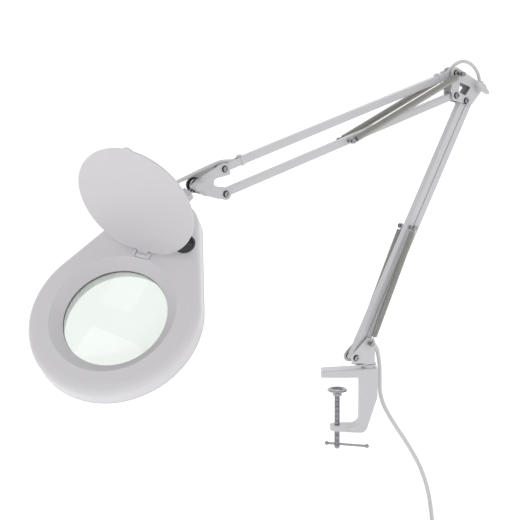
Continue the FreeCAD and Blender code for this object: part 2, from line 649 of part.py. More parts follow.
def head_bracket():
    """Pair of Y-shaped cheeks from the two bar pivots to the tilt bolt."""
    face = round_hull([(HEAD_LOW[0], HEAD_LOW[1], 7.6), (TILT_BOLT[0], TILT_BOLT[1], 9.0),
                       (HEAD_HIGH[0], HEAD_HIGH[1], 7.6)])
    middle = shifted(HEAD_LOW, UPPER_LINK, 0.5)
    notch = plate(round_hull([(middle[0] - 14.0, middle[1], 9.6), (middle[0] + 11.6, middle[1] - 0.6, 5.4)]),
                  -STUD_END, STUD_END)
    cheeks = []
    for cheek in cheek_pair(face):
        cheek = cheek.cut(notch)
        for pivot in (HEAD_LOW, HEAD_HIGH, TILT_BOLT):
            cheek = cheek.cut(cross_rod(pivot, -STUD_END, STUD_END, BOLT_RADIUS))
        cheeks.append(cheek)
    return group(cheeks)


FRICTION_RADIUS = 9.8
EYE_HALF = 5.0


def head_washers():
    """Bar washers, and the black friction discs either side of the stem's eye."""
    rings = washers(HEAD_LOW) + washers(HEAD_HIGH)
    for low, high in ((EYE_HALF + 0.05, CHEEK_INNER), (-CHEEK_INNER, -EYE_HALF - 0.05)):
        disc = cross_rod(TILT_BOLT, low, high, FRICTION_RADIUS)
        rings.append(disc.cut(cross_rod(TILT_BOLT, low - 1, high + 1, BOLT_RADIUS)))
    return group(rings)


def tilt_bolt():
    """Bolt with a broad domed head on the far side; the knob runs on its near end."""
    far = -CHEEK_OUTER
    shank = cross_rod(TILT_BOLT, far - 2, CHEEK_OUTER + 10.0, BOLT_RADIUS)
    cap = cross_rod(TILT_BOLT, far - 4.2, far, 8.6)
    rim = [edge for edge in cap.Edges if edge.Closed and abs(edge.CenterOfMass.y - far + 4.2) < 1e-6]
    return fused([cap.makeFillet(2.4, rim), shank])


def tilt_knob():
    """Three-lobed clamping knob."""
    y_low, y_high = CHEEK_OUTER + 0.3, CHEEK_OUTER + 13.5
    hub = cross_rod((0, 0), y_low, y_high - 3.0, 7.4)
    lobes = []
    for turn in (0.0, 120.0, 240.0):
        lobe = plate(round_hull([(0, 0, 6.4), (9.2, 0, 4.6)]), y_low + 2.5, y_high)
        rims = [edge for edge in lobe.Edges if abs(edge.CenterOfMass.y - y_high) < 1e-6]
        lobe = lobe.makeFillet(1.5, rims)
        lobe.rotate(vec(0, 0, 0), Y_AXIS, -turn)
        lobes.append(lobe)
    body = fused([hub] + lobes)
    body.translate(vec(TILT_BOLT[0], 0, TILT_BOLT[1]))
    return body.cut(cross_rod(TILT_BOLT, 0, CHEEK_OUTER + 10.2, BOLT_RADIUS + RUNNING_FIT))


TILT_CENTRE = vec(TILT_BOLT[0], 0, TILT_BOLT[1])
STEM_ROD_RADIUS = 2.5
BLOCK_START = 13.4
STEM_END = 31.0


def eye_rod():
    """Stem: an eye on the tilt bolt and a round rod that turns in the neck block."""
    eye = cross_rod(TILT_BOLT, -EYE_HALF, EYE_HALF, 8.2)
    shank = rod(TILT_CENTRE, TILT_CENTRE - STEM_WAY * STEM_END, STEM_ROD_RADIUS)
    collar_at = STEM_END - 3.0
    collar = rod(TILT_CENTRE - STEM_WAY * collar_at, TILT_CENTRE - STEM_WAY * (collar_at + 2.0), 4.0)
    body = fused([eye, shank, collar])
    return body.cut(cross_rod(TILT_BOLT, -EYE_HALF - 1, EYE_HALF + 1, BOLT_RADIUS + RUNNING_FIT))


BLOCK_HALF_WIDTH = 6.6
BLOCK_HALF_HEIGHT = 6.0
NECK_PIN_RADIUS = 2.5


def neck_placement():
    """Neck block frame: origin on the neck pin, +X up the stem, +Z along the pin."""
    side = HEAD_NORMAL.cross(STEM_WAY)
    return FreeCAD.Placement(NECK_PIN, FreeCAD.Rotation(STEM_WAY, side, HEAD_NORMAL, "XZY"))


def neck_block():
    """Swivel block: the stem turns in one end and the neck pin passes through the other."""
    reach = STEM_LENGTH - BLOCK_START
    plan = round_hull([(0, 0, BLOCK_HALF_WIDTH), (reach - 1.0, -BLOCK_HALF_WIDTH + 1.0, 1.0),
                       (reach - 1.0, BLOCK_HALF_WIDTH - 1.0, 1.0)])
    body = flat_solid(plan, -BLOCK_HALF_HEIGHT, BLOCK_HALF_HEIGHT)
    rims = [edge for edge in body.Edges if abs(abs(edge.CenterOfMass.z) - BLOCK_HALF_HEIGHT) < 1e-6]
    body = body.makeFillet(0.8, rims)
    rod_end = STEM_LENGTH - STEM_END
    body = body.cut(rod(vec(rod_end - 0.5, 0, 0), vec(reach + 1, 0, 0), STEM_ROD_RADIUS + RUNNING_FIT))
    body = body.cut(rod(vec(rod_end - 0.5, 0, 0), vec(rod_end + 4.5, 0, 0), 4.0 + RUNNING_FIT))
    return body.cut(rod(vec(0, 0, -8), vec(0, 0, 8), NECK_PIN_RADIUS + RUNNING_FIT))


# Head


def teardrop(inset):
    return round_hull([(0, 0, HEAD_ROUND - inset), (TAIL_CENTRE, 0, TAIL_ROUND - inset)])


SHELL_BOSSES = [(140.0, 31.0), (140.0, -31.0)] + [
    (95.0 * math.cos(math.radians(turn)), 95.0 * math.sin(math.radians(turn))) for turn in (112.0, 248.0)]
SCREW_SHANK = 1.5
NECK_AT = vec(NECK_REACH, 0, -NECK_DROP)
HEAD_GROMMET_AT = vec(171.2, 8.0, 6.0)
HEAD_GROMMET_REACH = 4.5
LEAD_CORNER = vec(303.5, -1.0, 289.5)
HEAD_GROMMET_WAY = (HEAD_IN_ARM.inverse().multVec(LEAD_CORNER) - HEAD_GROMMET_AT).normalize()


def rounded_drop(inset, z_low, z_high, rounding, z_round):
    """Teardrop block whose edge at z_round is rounded over."""
    body = flat_solid(teardrop(inset), z_low, z_high)
    rims = [edge for edge in body.Edges if abs(edge.CenterOfMass.z - z_round) < 1e-6]
    return body.makeFillet(rounding, rims)


def tapered_drop(top_inset, bottom_inset, z_top, z_bottom):
    """Teardrop block that draws in towards its underside."""
    wires = []
    for inset, height in ((top_inset, z_top), (bottom_inset, z_bottom)):
        wire = teardrop(inset).OuterWire.copy()
        wire.translate(vec(0, 0, height))
        wires.append(wire)
    return Part.makeLoft(wires, True, True)


def hinge_pocket(grow):
    return block((RECESS_RIM + 0.6 - grow, 89.0 + grow), (-12.5 - grow, 12.5 + grow), (2.6, SHELL_TOP + 1))


def upper_shell():
    """Top housing: rounded shoulder, a conical recess down to the lens, and the tail."""
    outer = rounded_drop(0, SHELL_SEAM, SHELL_TOP, SHELL_SHOULDER, SHELL_TOP)
    inner = rounded_drop(SHELL_WALL, SHELL_SEAM - 1, SHELL_TOP - SHELL_WALL, SHELL_SHOULDER - SHELL_WALL,
                         SHELL_TOP - SHELL_WALL)
    body = outer.cut(inner).cut(rod(vec(0, 0, 0), vec(0, 0, SHELL_TOP + 1), RECESS_RIM + 1.0))
    funnel = turned_ring([(RECESS_RIM, SHELL_TOP - 0.9), (RECESS_RIM + 0.9, SHELL_TOP), (RECESS_RIM + 3.5, SHELL_TOP),
                          (RECESS_RIM + 3.5, SHELL_TOP - SHELL_WALL), (RECESS_RIM + 1.6, SHELL_TOP - SHELL_WALL),
                          (LENS_RADIUS + 1.2, -LENS_LIP), (LENS_OPENING, -LENS_LIP), (LENS_OPENING, 0)])
    switch_seat = rod(vec(SWITCH_AT[0], SWITCH_AT[1], 1.0), vec(SWITCH_AT[0], SWITCH_AT[1], SHELL_TOP),
                      SWITCH_RADIUS + 1.0).common(flat_solid(teardrop(0), 0, SHELL_TOP))
    pads = [rod(vec(x, y, SHELL_SEAM), vec(x, y, SHELL_TOP - SHELL_WALL + 0.5), 3.2) for x, y in SHELL_BOSSES]
    pads.append(rod(NECK_AT + vec(0, 0, BLOCK_HALF_HEIGHT + 0.3), NECK_AT + vec(0, 0, SHELL_TOP + 4.0), 6.5))
    pads.append(hinge_pocket(1.5).common(block((60, 100), (-20, 20), (1.6, SHELL_TOP))))
    body = fused([body, funnel, switch_seat] + pads)
    body = body.cut(rod(vec(0, 0, -5), vec(0, 0, 20), LENS_OPENING))
    cutter = turned_ring([(0, 20), (RECESS_RIM + 0.9, 20), (RECESS_RIM + 0.9, SHELL_TOP),
                          (RECESS_RIM, SHELL_TOP - 0.9), (LENS_OPENING, 0), (0, 0)])
    body = body.cut(cutter).cut(hinge_pocket(0))
    for x, y in SHELL_BOSSES:
        body = body.cut(rod(vec(x, y, SHELL_SEAM - 1), vec(x, y, -4), SCREW_SHANK))
    body = body.cut(rod(vec(SWITCH_AT[0], SWITCH_AT[1], 0), vec(SWITCH_AT[0], SWITCH_AT[1], 20), ROCKER_RADIUS + 2.0))
    body = body.cut(rod(NECK_AT, NECK_AT + vec(0, 0, 12.5), NECK_PIN_RADIUS))
    window = block((NECK_REACH - 12.0, 180.0), (-15.0, 15.0),
                   (-NECK_DROP - BLOCK_HALF_HEIGHT - 0.8, -NECK_DROP + BLOCK_HALF_HEIGHT + 0.3))
    body = body.cut(window)
    return body.cut(rod(HEAD_GROMMET_AT - HEAD_GROMMET_WAY * 8, HEAD_GROMMET_AT + HEAD_GROMMET_WAY * 8, 4.0))


def lower_shell():
    """Bottom housing with a round opening for the diffuser."""
    outer = tapered_drop(-SEAM_LIP, SHELL_TAPER, SHELL_SEAM - 0.1, SHELL_BOTTOM)
    inner = tapered_drop(SHELL_WALL, SHELL_TAPER + SHELL_WALL, SHELL_SEAM + 0.4, SHELL_BOTTOM + SHELL_WALL)
    body = outer.cut(inner)
    pads = [rod(vec(x, y, SHELL_BOTTOM + 0.5), vec(x, y, SHELL_SEAM - 0.1), 3.8) for x, y in SHELL_BOSSES]
    pads.append(rod(vec(NECK_REACH, 0, SHELL_BOTTOM + 0.5), vec(NECK_REACH, 0, -NECK_DROP - BLOCK_HALF_HEIGHT - 0.5), 5.2))
    body = fused([body] + [pad.common(flat_solid(teardrop(SHELL_TAPER), SHELL_BOTTOM, 0)) for pad in pads])
    body = body.cut(rod(vec(0, 0, SHELL_BOTTOM - 1), vec(0, 0, SHELL_BOTTOM + SHELL_WALL + 0.4), 90.4))
    for x, y in SHELL_BOSSES:
        body = body.cut(rod(vec(x, y, SHELL_BOTTOM - 1), vec(x, y, SHELL_SEAM + 1), SCREW_SHANK))
        body = body.cut(rod(vec(x, y, SHELL_BOTTOM - 1), vec(x, y, SHELL_BOTTOM + 1.8), 3.0))
    return body.cut(rod(vec(NECK_REACH, 0, SHELL_BOTTOM + 3), vec(NECK_REACH, 0, 0), NECK_PIN_RADIUS))


def diffuser_ring():
    """Translucent ring under the tube, with a collar up to the lens retainer."""
    return turned_ring([(63.6, SHELL_BOTTOM), (90.1, SHELL_BOTTOM), (90.1, SHELL_BOTTOM + 2), (66.0, SHELL_BOTTOM + 2),
                        (66.0, -10.2), (63.6, -10.2)])


def lens():
    """Biconvex lens."""
    sag = LENS_CURVE - math.sqrt(LENS_CURVE ** 2 - LENS_RADIUS ** 2)
    top = -LENS_LIP - 0.5
    bottom = top - LENS_EDGE
    mid_sag = LENS_CURVE - math.sqrt(LENS_CURVE ** 2 - (LENS_RADIUS / 2) ** 2)
    edges = [Part.LineSegment(vec(0, 0, bottom - sag), vec(0, 0, top + sag)).toShape(),
             Part.Arc(vec(0, 0, top + sag), vec(LENS_RADIUS / 2, 0, top + sag - mid_sag),
                      vec(LENS_RADIUS, 0, top)).toShape(),
             Part.LineSegment(vec(LENS_RADIUS, 0, top), vec(LENS_RADIUS, 0, bottom)).toShape(),
             Part.Arc(vec(LENS_RADIUS, 0, bottom), vec(LENS_RADIUS / 2, 0, bottom - sag + mid_sag),
                      vec(0, 0, bottom - sag)).toShape()]
    return Part.Face(Part.Wire(edges)).revolve(vec(0, 0, 0), Z_AXIS, 360)


def lens_retainer():
    outer = LENS_RADIUS + 2.4
    seat = -LENS_LIP - 0.2 - LENS_EDGE - 1.2
    return turned_ring([(62.6, -10.0), (outer, -10.0), (outer, -LENS_LIP - 0.2), (LENS_RADIUS + 0.2, -LENS_LIP - 0.2),
                        (LENS_RADIUS + 0.2, seat), (62.6, seat)])


def ring_tube():
    """Circular fluorescent tube, open where its cap sits."""
    gap = 9.0
    start = math.radians(gap)
    centre = vec(TUBE_RING * math.cos(start), TUBE_RING * math.sin(start), TUBE_HEIGHT)
    way = vec(-math.sin(start), math.cos(start), 0)
    sweep = 360 - 2 * gap
    solids = []
    for radius in (TUBE_RADIUS, TUBE_RADIUS - 0.8):
        disc = Part.Face(Part.Wire(Part.Circle(centre, way, radius).toShape()))
        solids.append(disc.revolve(vec(0, 0, 0), Z_AXIS, sweep))
    return solids[0].cut(solids[1])


def tube_clips():
    """Spring clips that hold the tube under the shell's top."""
    clips = []
    for turn in (90.0, 180.0, 270.0):
        ring = Part.makeCylinder(TUBE_RADIUS + 1.4, 7.0, vec(TUBE_RING, -3.5, TUBE_HEIGHT), Y_AXIS)
        ring = ring.cut(Part.makeCylinder(TUBE_RADIUS + 0.1, 9.0, vec(TUBE_RING, -4.5, TUBE_HEIGHT), Y_AXIS))
        mouth = block((TUBE_RING - 5.5, TUBE_RING + 5.5), (-5, 5), (TUBE_HEIGHT - 12, TUBE_HEIGHT - 4))
        stem = block((TUBE_RING - 1.2, TUBE_RING + 1.2), (-3.5, 3.5),
                     (TUBE_HEIGHT + TUBE_RADIUS + 0.6, SHELL_TOP - SHELL_WALL - 0.1))
        clip = fused([ring.cut(mouth), stem])
        clip.rotate(vec(0, 0, 0), Z_AXIS, turn)
        clips.append(clip)
    return group(clips)


def lamp_cap():
    """Plastic cap that joins the tube's ends and takes the four-pin socket."""
    body = block((TUBE_RING - 9.5, TUBE_RING + 9.8), (-12.2, 12.2), (TUBE_HEIGHT - 9.4, TUBE_HEIGHT + 9.4))
    return body.makeFillet(2.0, [edge for edge in body.Edges if abs(edge.CenterOfMass.y) < 1e-6])


def ballast():
    body = block((97.0, 147.0), (-12.0, 26.0), (SHELL_BOTTOM + SHELL_WALL + 0.3, -7.0))
    return body.makeFillet(1.5, [edge for edge in body.Edges if edge.Length < 30])


def terminal_block():
    """Three-way screw terminal strip."""
    floor = SHELL_BOTTOM + SHELL_WALL + 0.2
    cells = []
    for index in range(3):
        low = 122.0 + 8.0 * index
        cell = block((low, low + 7.4), (-25.0, -12.0), (floor, floor + 11.0))
        for y in (-21.8, -15.2):
            cell = cell.cut(rod(vec(low + 3.7, y, floor + 7.0), vec(low + 3.7, y, floor + 12.0), 1.7))
        cells.append(cell)
    base = block((122.0, 145.4), (-22.0, -15.0), (floor, floor + 2.8))
    return fused(cells + [base])


def switch_body():
    """Round switch housing with a raised collar."""
    x, y = SWITCH_AT
    flange = rod(vec(x, y, SHELL_TOP), vec(x, y, SHELL_TOP + 1.8), SWITCH_RADIUS)
    rim = [edge for edge in flange.Edges if edge.Closed and abs(edge.CenterOfMass.z - SHELL_TOP - 1.8) < 1e-6]
    can = rod(vec(x, y, -9.0), vec(x, y, SHELL_TOP), ROCKER_RADIUS + 2.0)
    bowl = rod(vec(x, y, 4.5), vec(x, y, SHELL_TOP + 3), ROCKER_RADIUS + 0.7)
    return fused([flange.makeFillet(0.8, rim), can]).cut(bowl)


def switch_rocker():
    """Round rocker, dished on top, resting on its off side."""
    body = Part.makeCylinder(ROCKER_RADIUS, 7.6, vec(0, 0, -2.0))
    dish = Part.makeCylinder(24.0, 40.0, vec(0, -20.0, 27.6), Y_AXIS)
    pivots = rod(vec(0, -ROCKER_RADIUS - 0.5, 0), vec(0, ROCKER_RADIUS + 0.5, 0), 1.0)
    body = fused([body.cut(dish), pivots])
    body.rotate(vec(0, 0, 0), Y_AXIS, ROCKER_REST)
    body.translate(vec(SWITCH_AT[0], SWITCH_AT[1], SHELL_TOP - 3.0))
    return body


def shell_screws():
    screws = []
    for x, y in SHELL_BOSSES:
        shank = rod(vec(x, y, SHELL_BOTTOM + 0.6), vec(x, y, -5.0), SCREW_SHANK)
        head = cone(vec(x, y, SHELL_BOTTOM + 0.3), vec(x, y, SHELL_BOTTOM + 1.8), 2.9, 2.4)
        screws.append(fused([shank, head]))
    return group(screws)


def neck_pin():
    return rod(vec(NECK_REACH, 0, SHELL_BOTTOM + 3.2), vec(NECK_REACH, 0, 6.2), NECK_PIN_RADIUS)


def head_grommet():
    """Rubber bush where the inner lead enters the tail."""
    back = HEAD_GROMMET_AT - HEAD_GROMMET_WAY * 4.0
    return rod(back, HEAD_GROMMET_AT + HEAD_GROMMET_WAY * HEAD_GROMMET_REACH, 4.0)


def hinge_block():
    """Tray set into the recess rim whose side walls carry the cover's pin."""
    body = block((RECESS_RIM + 0.6, 89.0), (-12.5, 12.5), (2.6, SHELL_TOP + 0.6))
    body = body.cut(block((RECESS_RIM - 1, 87.7), (-7.6, 7.6), (4.2, SHELL_TOP + 2)))
    ears = [block((77.4, 84.6), sorted((side * 7.9, side * 11.6)), (SHELL_TOP, SHELL_TOP + 2.6)) for side in (1, -1)]
    body = fused([body] + ears)
    return body.cut(rod(vec(HINGE_X, -14, HINGE_Z), vec(HINGE_X, 14, HINGE_Z), HINGE_PIN))


def hinge_pin():
    return rod(vec(HINGE_X, -12.4, HINGE_Z), vec(HINGE_X, 12.4, HINGE_Z), HINGE_PIN)


def lens_cover():
    """Round dust cover with a thumb tab and a hinge knuckle, drawn closed."""
    low = SHELL_TOP + COVER_GAP
    high = low + COVER_THICKNESS
    disc = Part.makeCylinder(COVER_RADIUS, COVER_THICKNESS, vec(COVER_CENTRE, 0, low))
    tab = rod(vec(COVER_CENTRE - COVER_RADIUS + 5.0, 0, low), vec(COVER_CENTRE - COVER_RADIUS + 5.0, 0, high), 8.0)
    top = fused([disc, tab])
    rims = [edge for edge in top.Edges if abs(edge.CenterOfMass.z - high) < 1e-6]
    top = top.makeFillet(1.4, rims)
    top = top.cut(block((HINGE_X - 8.0, HINGE_X + 4.0), (-26.0, 26.0), (low - 1.0, high + 1.0)))
    knuckle = rod(vec(HINGE_X, -7.3, HINGE_Z), vec(HINGE_X, 7.3, HINGE_Z), 3.4)
    tongue = block((HINGE_X - 12.0, HINGE_X), (-7.3, 7.3), (low, low + 2.4))
    neck = block((HINGE_X - 3.0, HINGE_X + 1.6), (-7.3, 7.3), (HINGE_Z, low + 2.4))
    body = fused([top, knuckle, tongue, neck])
    return body.cut(rod(vec(HINGE_X, -10, HINGE_Z), vec(HINGE_X, 10, HINGE_Z), HINGE_PIN + RUNNING_FIT))


def cover_placement():
    """Cover swung open about its pin."""
    pin = vec(HINGE_X, 0, HINGE_Z)
    swing = FreeCAD.Placement(vec(0, 0, 0), FreeCAD.Rotation(Y_AXIS, COVER_OPEN), pin)
    return HEAD.multiply(swing)


def head_route():
    """Inner lead from the top bar's outlet over the tilt joint to the grommet on the tail."""
    end = HEAD_IN_ARM.multVec(HEAD_GROMMET_AT + HEAD_GROMMET_WAY * HEAD_GROMMET_REACH)
    in_bar = [shifted(shifted(ELBOW_HIGH, UPPER_WAY, reach), (-UPPER_WAY[1], UPPER_WAY[0]), height)
              for reach, height in ((372.0, 0.5), (386.0, 5.2), (398.0, 8.4))]
    return arm_route([(x, 0, z) for x, z in in_bar]
                     + [(246.5, 0, 310.0), (261.0, 0, 305.0), (275.5, 0, 299.6),
                        (289.5, -0.4, 294.0)]) + [LEAD_CORNER, end]


def head_lead():
    return cord_tube(head_route(), INNER_LEAD_RADIUS, "head lead")


def main():
    os.makedirs("parts", exist_ok=True)
    bar_holes = [0, BAR_LENGTH]
    bolt_hole = BOLT_RADIUS + RUNNING_FIT
    open_hole = BOLT_RADIUS + 0.3

    write("clamp_frame", clamp_frame())
    write("swivel_bush", swivel_bush())
    write("clamp_pad", clamp_pad())
    write("clamp_screw", clamp_screw())
    write("tommy_bar", tommy_bar())

    write("base_bracket", base_bracket(), ARM)
    write("swivel_post", swivel_post(), ARM)
    write("base_bolt", pivot_bolt(BASE_PIVOT), ARM)
    write("base_spring_pin", through_stud(BASE_PIN), ARM)
    write("base_washers", group(washers(BASE_PIVOT) + washers(BASE_PIN)[:2]), ARM)
    write("base_grommet", base_grommet(), ARM)
    write("mains_lead", mains_lead())
    write("lead_coil", lead_coil())
    write("plug_body", plug_body(), plug_placement())
    write("plug_pins", plug_pins(), plug_placement())

    front = square_bar(BASE_PIVOT, ELBOW_FRONT, bar_holes + [BAR_LENGTH * LOWER_STUD_SHARE], bolt_hole)
    write("lower_front_bar", front, ARM)
    write("lower_rear_bar", square_bar(BASE_PIN, ELBOW_REAR, bar_holes, open_hole), ARM)
    write("lower_spring_stud", through_stud(LOWER_STUD), ARM)
    for name, side in (("near", 1), ("far", -1)):
        write("lower_spring_" + name, spring_body(LOWER_STUD, BASE_PIN, side), ARM)
        write("upper_spring_" + name, spring_body(UPPER_STUD, ELBOW_STUD, side), ARM)

    write("elbow_bracket", elbow_bracket(), ARM)
    write("elbow_bolts", elbow_bolts(), ARM)
    write("elbow_studs", elbow_studs(), ARM)
    write("elbow_washers", group(washers(ELBOW_FRONT) + washers(ELBOW_LOW) + washers(ELBOW_HIGH)
                                 + washers(ELBOW_REAR)[:2]), ARM)
    write("elbow_grommet", elbow_grommet(), ARM)
    write("elbow_lead", elbow_lead(), ARM)
    write("elbow_knob", elbow_knob(), ARM)

    low_bar = square_bar(ELBOW_LOW, HEAD_LOW, bar_holes + [BAR_LENGTH * UPPER_STUD_SHARE], bolt_hole)
    write("upper_lower_bar", low_bar, ARM)
    write("upper_spring_stud", through_stud(UPPER_STUD), ARM)
    top_bar = square_bar(ELBOW_HIGH, HEAD_HIGH, bar_holes, open_hole,
                         slots=[(-2.4, 12.5), (BAR_LENGTH - 27.5, BAR_LENGTH - 4.0)])
    write("upper_top_bar", top_bar, ARM)
    write("cable_clips", cable_clips(), ARM)

    write("head_bracket", head_bracket(), ARM)
    write("head_bolts", group([pivot_bolt(HEAD_LOW), pivot_bolt(HEAD_HIGH)]), ARM)
    write("head_washers", head_washers(), ARM)
    write("tilt_bolt", tilt_bolt(), ARM)
    write("tilt_knob", tilt_knob(), ARM)
    write("head_lead", head_lead(), ARM)
    write("eye_rod", eye_rod(), ARM)
    write("neck_block", neck_block(), ARM.multiply(neck_placement()))

    write("upper_shell", upper_shell(), HEAD)
    write("lower_shell", lower_shell(), HEAD)
    write("diffuser_ring", diffuser_ring(), HEAD)
    write("lens", lens(), HEAD)
    write("lens_retainer", lens_retainer(), HEAD)
    write("ring_tube", ring_tube(), HEAD)
    write("tube_clips", tube_clips(), HEAD)
    write("lamp_cap", lamp_cap(), HEAD)
    write("ballast", ballast(), HEAD)
    write("terminal_block", terminal_block(), HEAD)
    write("switch_body", switch_body(), HEAD)
    write("switch_rocker", switch_rocker(), HEAD)
    write("shell_screws", shell_screws(), HEAD)
    write("neck_pin", neck_pin(), HEAD)
    write("head_grommet", head_grommet(), HEAD)
    write("hinge_block", hinge_block(), HEAD)
    write("hinge_pin", hinge_pin(), HEAD)
    write("lens_cover", lens_cover(), cover_placement())


main()
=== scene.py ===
import bpy
import bmesh
import json
import math
from mathutils import Matrix, Vector


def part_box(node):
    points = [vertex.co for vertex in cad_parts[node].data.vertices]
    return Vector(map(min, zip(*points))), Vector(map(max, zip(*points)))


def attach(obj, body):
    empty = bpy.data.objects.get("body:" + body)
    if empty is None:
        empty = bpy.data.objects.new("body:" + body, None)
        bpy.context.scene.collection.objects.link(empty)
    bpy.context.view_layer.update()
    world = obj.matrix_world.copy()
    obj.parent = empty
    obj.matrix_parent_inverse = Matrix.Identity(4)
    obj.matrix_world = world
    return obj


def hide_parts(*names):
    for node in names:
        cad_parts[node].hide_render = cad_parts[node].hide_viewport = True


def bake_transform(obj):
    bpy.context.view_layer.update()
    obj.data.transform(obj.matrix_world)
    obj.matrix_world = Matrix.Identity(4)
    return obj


bl_info = {
    "name": "Bench magnifying lamp",
    "version": (1, 0, 0),
    "blender": (4, 5, 0),
    "location": "View3D > Sidebar > Magnifying Lamp",
    "description": "Springs, thread, leads, finishes and studio for a clamp-on magnifying lamp",
    "category": "Object",
}

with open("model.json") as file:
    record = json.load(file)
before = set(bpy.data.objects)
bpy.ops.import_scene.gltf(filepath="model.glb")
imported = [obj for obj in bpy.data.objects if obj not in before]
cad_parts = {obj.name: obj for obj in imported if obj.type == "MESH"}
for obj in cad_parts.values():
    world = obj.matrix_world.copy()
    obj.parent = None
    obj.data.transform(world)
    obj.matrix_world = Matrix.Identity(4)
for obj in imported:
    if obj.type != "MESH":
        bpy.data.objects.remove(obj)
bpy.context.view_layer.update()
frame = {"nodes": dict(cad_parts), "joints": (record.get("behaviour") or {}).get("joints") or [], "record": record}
NODES = frame["nodes"]
JOINTS = {joint["name"]: joint for joint in frame["joints"]}
MM = 0.001
ACROSS = Vector(JOINTS["lower_arm_tilt"]["axis"])      # from the far side of the arm to the knob side
ARM_LEVEL = ACROSS.cross(Vector((0, 0, 1)))            # level in the arm's plane, towards the head
FINISHES = {}                                          # material of each slot, filled by the first operator


# Mesh and material helpers


def middle(node):
    low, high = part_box(node)
    return (low + high) / 2


def millimetres(points):
    return [Vector(point) * MM for point in points]


def linked(mesh, name):
    piece = bpy.data.objects.new(name, mesh)
    bpy.context.scene.collection.objects.link(piece)
    return piece


def smooth(mesh):
    mesh.polygons.foreach_set("use_smooth", [True] * len(mesh.polygons))
    return mesh


def dress(shape, slot):
    """Give a mesh or a curve one finish and no other."""
    shape.materials.clear()
    shape.materials.append(FINISHES[slot])


def nurbs_curve(name, points, bevel=0.0, resolution=8, bevel_resolution=5):
    """Smooth open line through space with the route's points as its control points."""
    curve = bpy.data.curves.new(name, "CURVE")
    curve.dimensions = "3D"
    curve.resolution_u = resolution
    spline = curve.splines.new("NURBS")
    spline.points.add(len(points) - 1)
    for knot, point in zip(spline.points, points):
        knot.co = (*point, 1.0)
    spline.order_u = 3
    spline.use_endpoint_u = True
    curve.bevel_depth = bevel
    curve.bevel_resolution = bevel_resolution
    curve.use_fill_caps = True
    return linked(curve, name)


def as_mesh(source, name):
    """Plain mesh of an object with its modifiers applied. The object itself goes away."""
    bpy.context.view_layer.update()
    evaluated = source.evaluated_get(bpy.context.evaluated_depsgraph_get())
    mesh = bpy.data.meshes.new_from_object(evaluated)
    mesh.name = name
    bpy.data.objects.remove(source)
    return mesh


def joined(meshes, name):
    result = bmesh.new()
    for mesh in meshes:
        result.from_mesh(mesh)
    mesh = bpy.data.meshes.new(name)
    result.to_mesh(mesh)
    result.free()
    for material in meshes[0].materials:
        mesh.materials.append(material)
    return smooth(mesh)


def grow_tree(piece, tree, **values):
    """Run a geometry tree on an object, set its inputs by identifier, and return the plain mesh."""
    modifier = piece.modifiers.new("shape", "NODES")
    modifier.node_group = tree
    for item in tree.interface.items_tree:
        if item.item_type == "SOCKET" and item.in_out == "INPUT" and item.name in values:
            modifier[item.identifier] = values[item.name]
    return as_mesh(piece, piece.name)


def new_tree(name, sockets, material):
    """Geometry tree with its inputs, an empty middle and an output in one material."""
    tree = bpy.data.node_groups.new(name, "GeometryNodeTree")
    for label, kind, default in sockets:
        socket = tree.interface.new_socket(label, in_out="INPUT", socket_type=kind)
        socket.default_value = default
    tree.interface.new_socket("Geometry", in_out="OUTPUT", socket_type="NodeSocketGeometry")
    start = tree.nodes.new("NodeGroupInput")
    real = tree.nodes.new("GeometryNodeRealizeInstances")
    coat = tree.nodes.new("GeometryNodeSetMaterial")
    coat.inputs["Material"].default_value = material
    end = tree.nodes.new("NodeGroupOutput")
    tree.links.new(real.outputs[0], coat.inputs["Geometry"])
    tree.links.new(coat.outputs[0], end.inputs[0])
    return tree, start, real


def helix_tree(name, material, sides):
    """Wire of a round section wound into a helix along Z."""
    sockets = [("Length", "NodeSocketFloat", 0.1), ("Coil Radius", "NodeSocketFloat", 0.004),
               ("Wire Radius", "NodeSocketFloat", 0.0006), ("Turns", "NodeSocketFloat", 80.0)]
    tree, start, real = new_tree(name, sockets, material)
    spiral = tree.nodes.new("GeometryNodeCurveSpiral")
    spiral.inputs["Resolution"].default_value = 14
    ring = tree.nodes.new("GeometryNodeCurvePrimitiveCircle")
    ring.inputs["Resolution"].default_value = sides
    sweep = tree.nodes.new("GeometryNodeCurveToMesh")
    sweep.inputs["Fill Caps"].default_value = True
    link = tree.links.new
    link(start.outputs["Turns"], spiral.inputs["Rotations"])
    link(start.outputs["Coil Radius"], spiral.inputs["Start Radius"])
    link(start.outputs["Coil Radius"], spiral.inputs["End Radius"])
    link(start.outputs["Length"], spiral.inputs["Height"])
    link(start.outputs["Wire Radius"], ring.inputs["Radius"])
    link(spiral.outputs["Curve"], sweep.inputs["Curve"])
    link(ring.outputs["Curve"], sweep.inputs["Profile Curve"])
    link(sweep.outputs["Mesh"], real.inputs[0])
    return tree


